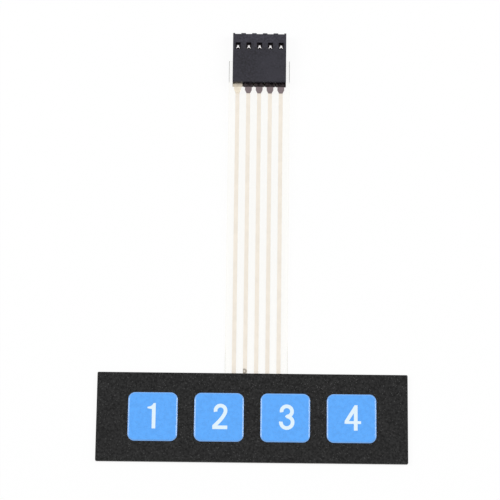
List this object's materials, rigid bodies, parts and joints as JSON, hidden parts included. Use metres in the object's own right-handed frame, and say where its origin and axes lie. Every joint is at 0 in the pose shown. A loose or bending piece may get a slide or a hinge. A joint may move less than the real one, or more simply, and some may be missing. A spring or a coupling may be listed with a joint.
{
  "type": "membrane keypad",
  "caption": "Flat film keypad: a row of raised blue numbered keys on a black panel, with a clear ribbon tail of printed silver tracks that ends in a socket connector for header pins.",
  "frame": {"origin": "middle of the panel, on the back of its release liner", "axes": "+X along the row of keys, +Y along the tail towards the connector, +Z out of the face of the keys"},
  "size_m": [0.0706, 0.1025, 0.0026],
  "materials": {
    "overlay": "fine matte texture, black print",
    "key_blue": "satin blue print",
    "numeral_white": "satin white print",
    "adhesive": "dark acrylic glue film",
    "spacer": "dark double-sided film",
    "clear_film": "clear polyester film",
    "silver_ink": "printed silver ink",
    "carbon_ink": "printed carbon ink",
    "liner_paper": "waxed release paper",
    "housing": "moulded black plastic",
    "tin_plate": "tin-plated spring metal"
  },
  "bodies": {
    "root": {"overlay_film": "overlay", "key_field_1": "key_blue", "key_field_2": "key_blue", "key_field_3": "key_blue", "key_field_4": "key_blue", "numeral_1": "numeral_white", "numeral_2": "numeral_white", "numeral_3": "numeral_white", "numeral_4": "numeral_white", "overlay_adhesive": "adhesive", "upper_circuit_film": "clear_film", "contact_pad_1": "carbon_ink", "contact_pad_2": "carbon_ink", "contact_pad_3": "carbon_ink", "contact_pad_4": "carbon_ink", "spacer_film": "spacer", "lower_circuit_film": "clear_film", "track_common": "silver_ink", "track_key_1": "silver_ink", "track_key_2": "silver_ink", "track_key_3": "silver_ink", "track_key_4": "silver_ink", "rear_adhesive": "adhesive", "release_liner": "liner_paper", "connector_housing": "housing", "terminal_1": "tin_plate", "terminal_2": "tin_plate", "terminal_3": "tin_plate", "terminal_4": "tin_plate", "terminal_5": "tin_plate"}
  },
  "joints": []
}
